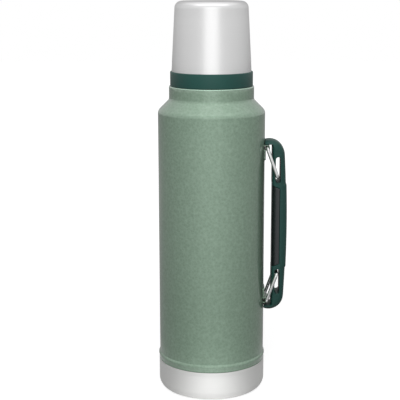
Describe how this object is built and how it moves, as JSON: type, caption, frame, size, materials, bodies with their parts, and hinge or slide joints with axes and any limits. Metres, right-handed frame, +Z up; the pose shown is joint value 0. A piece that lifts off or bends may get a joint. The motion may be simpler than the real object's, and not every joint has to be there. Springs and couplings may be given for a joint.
{
  "type": "vacuum insulated bottle",
  "caption": "Double-walled steel bottle with a screw stopper, a steel cup that screws on over it, and a side handle that pulls out on wire bails.",
  "frame": {"origin": "centre of the foot ring, on the floor, on the bottle's axis", "axes": "+Z up along the bottle's axis, +X towards the handle"},
  "size_m": [0.1211, 0.101, 0.3658],
  "materials": {
    "paint": "satin",
    "steel": "satin",
    "wire": "polished",
    "seal_metal": "matte",
    "foil": "satin",
    "green_plastic": "satin",
    "grip_rubber": "matte",
    "silicone": "satin",
    "foam": "matte"
  },
  "bodies": {
    "bottle": {"outer_shell": "paint", "base_cup": "steel", "shell_floor": "steel", "vacuum_seal": "seal_metal", "inner_flask": "steel", "inner_floor": "steel", "getter": "seal_metal", "heat_shield": "foil", "neck_sleeve": "steel", "upper_bracket": "paint", "lower_bracket": "paint"},
    "handle": {"handle_frame": "green_plastic", "handle_grip": "grip_rubber"},
    "upper_bail": {"upper_bail": "wire"},
    "lower_bail": {"lower_bail": "wire"},
    "stopper_lift": {"stopper_core": "foam"},
    "stopper": {"stopper_body": "green_plastic", "stopper_cap": "green_plastic", "stopper_seal": "silicone", "stopper_gasket": "silicone"},
    "cup_lift": {"cup_insulation": "foam"},
    "cup": {"cup_liner": "green_plastic", "cup_shell": "steel"}
  },
  "joints": [
    {"name": "handle_slide", "type": "slide", "parent": "bottle", "child": "handle", "axis": [1, 0, 0], "range_m": [0, 0.015]},
    {"name": "upper_bail_pivot", "type": "hinge", "parent": "bottle", "child": "upper_bail", "pos_m": [0.0514, 0, 0.2326], "axis": [0, -1, 0], "range_deg": [0, 39.68]},
    {"name": "lower_bail_pivot", "type": "hinge", "parent": "bottle", "child": "lower_bail", "pos_m": [0.0514, 0, 0.0864], "axis": [0, 1, 0], "range_deg": [0, 39.68]},
    {"name": "stopper_rise", "type": "slide", "parent": "bottle", "child": "stopper_lift", "axis": [0, 0, 1], "range_m": [0, 0.0501]},
    {"name": "stopper_unscrew", "type": "hinge", "parent": "stopper_lift", "child": "stopper", "pos_m": [0, 0, 0.318], "axis": [0, 0, 1], "range_deg": [0, 1800]},
    {"name": "cup_rise", "type": "slide", "parent": "stopper_lift", "child": "cup_lift", "axis": [0, 0, 1], "range_m": [0, 0.0651]},
    {"name": "cup_unscrew", "type": "hinge", "parent": "cup_lift", "child": "cup", "pos_m": [0, 0, 0.295], "axis": [0, 0, 1], "range_deg": [0, 1800]}
  ],
  "couplings": [
    {"joint": "upper_bail_pivot", "follows": "handle_slide", "rad_per_m": 46.169},
    {"joint": "lower_bail_pivot", "follows": "handle_slide", "rad_per_m": 46.169},
    {"joint": "stopper_rise", "follows": "stopper_unscrew", "m_per_rad": 0.0015915},
    {"joint": "cup_rise", "follows": "cup_unscrew", "m_per_rad": 0.002069}
  ]
}
